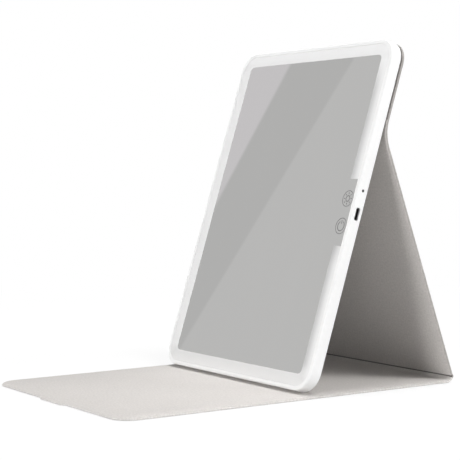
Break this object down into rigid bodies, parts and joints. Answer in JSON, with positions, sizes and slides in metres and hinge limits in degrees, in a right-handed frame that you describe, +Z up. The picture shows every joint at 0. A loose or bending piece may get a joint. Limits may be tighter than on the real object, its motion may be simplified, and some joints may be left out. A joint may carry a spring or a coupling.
{
  "type": "lighted makeup mirror",
  "caption": "Slim tablet-shaped makeup mirror with a frosted light band and touch signs, held up by a fabric cover that folds into a tent-like stand.",
  "frame": {"origin": "on the table, under the middle of the standing object's box", "axes": "+Z up, the glass faces -Y and leans back, +X to the side with the charging socket"},
  "size_m": [0.1854, 0.2669, 0.2398],
  "materials": {
    "housing_plastic": "satin moulded white",
    "pane_glass": "polished, with a frosted outer band",
    "silvering": "silvered",
    "opal_plastic": "opal, translucent",
    "white_tape": "matt adhesive tape",
    "white_board": "white lacquered circuit board",
    "green_board": "green lacquered circuit board",
    "led_package": "phosphor-filled",
    "connector_plastic": "natural nylon",
    "chip_plastic": "black moulded",
    "lead_sleeve": "smooth insulation",
    "socket_steel": "drawn, nickel plated",
    "socket_plastic": "black moulded",
    "clear_plastic": "smoky clear",
    "touch_foam": "conductive foam",
    "battery_pouch": "laminated foil",
    "grey_foam": "open-cell foam",
    "magnet_plate": "nickel plated",
    "cover_fabric": "fine woven greige",
    "lining_fabric": "soft brushed greige",
    "cover_board": "dense grey board",
    "panel_adhesive": "adhesive film"
  },
  "bodies": {
    "flap": {"flap_skin": "cover_fabric", "flap_board": "cover_board", "flap_lining": "lining_fabric", "spine_core": "cover_board", "rear_crease": "cover_fabric", "flap_magnets": "magnet_plate"},
    "strut": {"strut_skin": "cover_fabric", "strut_board": "cover_board", "strut_lining": "lining_fabric", "upper_fold": "cover_fabric"},
    "mirror": {"rear_shell": "housing_plastic", "mirror_glass": "pane_glass", "mirror_silver": "silvering", "glass_tape": "white_tape", "light_diffuser": "opal_plastic", "led_board": "white_board", "leds": "led_package", "led_terminals": "connector_plastic", "led_leads": "lead_sleeve", "main_board": "green_board", "board_chips": "chip_plastic", "indicator_led": "clear_plastic", "touch_pads": "touch_foam", "usb_shell": "socket_steel", "usb_tongue": "socket_plastic", "light_pipe": "clear_plastic", "battery": "battery_pouch", "battery_tape": "white_tape", "battery_foam": "grey_foam", "battery_leads": "lead_sleeve", "housing_magnets": "magnet_plate", "upper_skin": "cover_fabric", "upper_board": "cover_board", "upper_lining": "lining_fabric", "panel_glue": "panel_adhesive"}
  },
  "joints": [
    {"name": "base_fold", "type": "hinge", "parent": "flap", "child": "strut", "pos_m": [0, 0.13245, 0.00435], "axis": [1, 0, 0], "range_deg": [-17.5, 11.4]},
    {"name": "stand_fold", "type": "hinge", "parent": "strut", "child": "mirror", "pos_m": [0, 0.07266, 0.1748], "axis": [-1, 0, 0], "range_deg": [-34.6, 22.4], "deforming": ["upper_fold"]}
  ],
  "couplings": [
    {"joint": "base_fold", "follows": "stand_fold", "ratio": 0.5}
  ]
}
